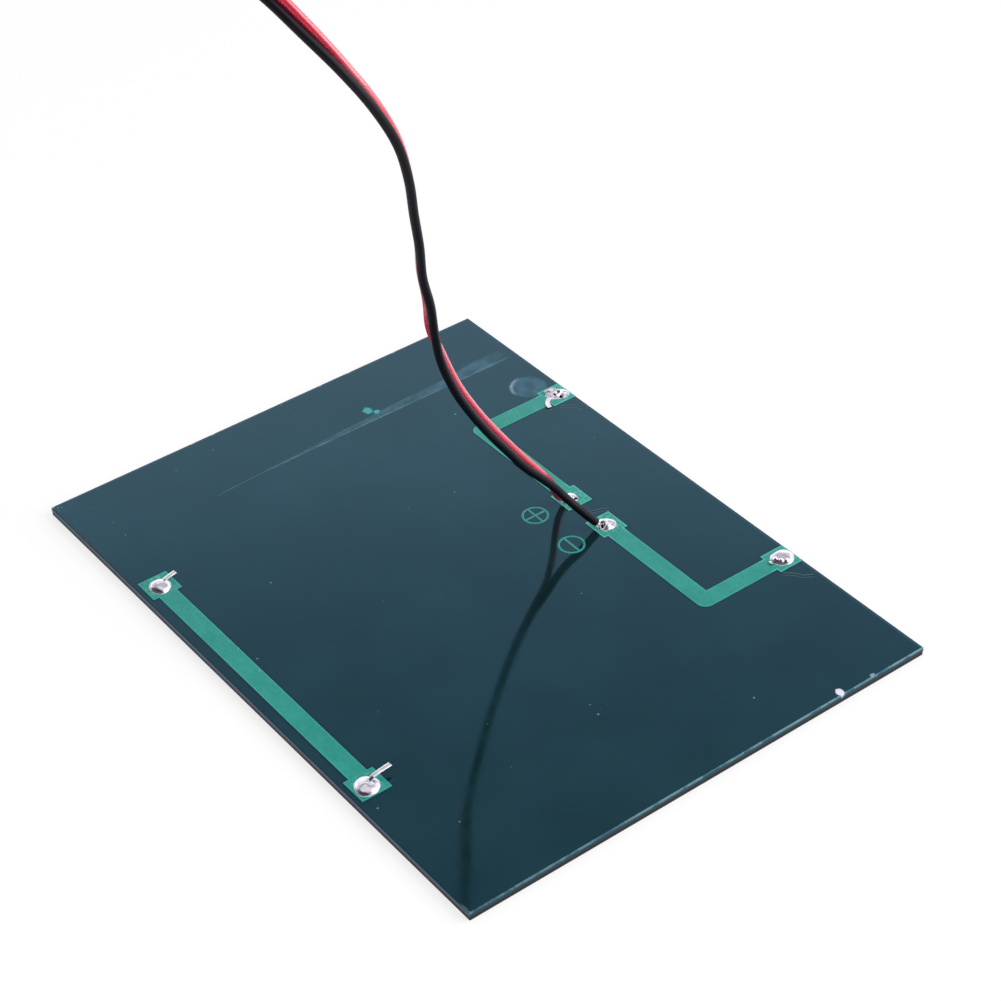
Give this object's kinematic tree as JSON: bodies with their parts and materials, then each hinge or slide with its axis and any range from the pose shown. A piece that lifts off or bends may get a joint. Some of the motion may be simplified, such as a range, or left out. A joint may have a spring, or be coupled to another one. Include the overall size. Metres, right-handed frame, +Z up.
{
  "type": "mini solar panel",
  "caption": "Thin rectangular laminated solar panel lying on its clear front, with coated tracks and solder joints on its circuit board back and a red and black twin lead.",
  "frame": {"origin": "middle of the underside of the clear front film, on which the panel lies", "axes": "+X along the long side, from the first string of cells to the second; +Y along the short side, towards the edge with the bus pads; +Z up, out of the circuit board's coated face"},
  "size_m": [0.1659, 0.0958, 0.1166],
  "materials": {
    "board_coating": "glossy dark blue-green coating on a glass fibre board",
    "track_coating": "the same coating over copper, lighter green",
    "clear_layer": "clear plastic cast round the cells",
    "clear_film": "clear plastic front film",
    "cell": "dark blue silicon with fine printed lines",
    "tinned_ribbon": "tinned copper strip",
    "solder": "bright solder with dull patches",
    "tinned_conductor": "tinned copper strands",
    "red_insulation": "smooth soft plastic",
    "black_insulation": "smooth soft plastic"
  },
  "bodies": {
    "root": {"circuit_board": "board_coating", "link_track": "track_coating", "positive_track": "track_coating", "negative_track": "track_coating", "encapsulant": "clear_layer", "front_film": "clear_film", "cell_a1": "cell", "cell_a2": "cell", "cell_a3": "cell", "cell_a4": "cell", "cell_a5": "cell", "cell_a6": "cell", "cell_b1": "cell", "cell_b2": "cell", "cell_b3": "cell", "cell_b4": "cell", "cell_b5": "cell", "cell_b6": "cell", "tab_a1": "tinned_ribbon", "tab_a2": "tinned_ribbon", "tab_a3": "tinned_ribbon", "tab_a4": "tinned_ribbon", "tab_a5": "tinned_ribbon", "tab_b1": "tinned_ribbon", "tab_b2": "tinned_ribbon", "tab_b3": "tinned_ribbon", "tab_b4": "tinned_ribbon", "tab_b5": "tinned_ribbon", "ribbon_link_a": "tinned_ribbon", "ribbon_link_b": "tinned_ribbon", "ribbon_positive": "tinned_ribbon", "ribbon_negative": "tinned_ribbon", "solder_link_a": "solder", "solder_link_b": "solder", "solder_positive": "solder", "solder_negative": "solder", "solder_plus_wire": "solder", "solder_minus_wire": "solder", "red_stub": "tinned_conductor", "black_stub": "tinned_conductor", "red_lead": "red_insulation", "black_lead": "black_insulation", "red_bare_end": "tinned_conductor", "black_bare_end": "tinned_conductor"}
  },
  "joints": []
}
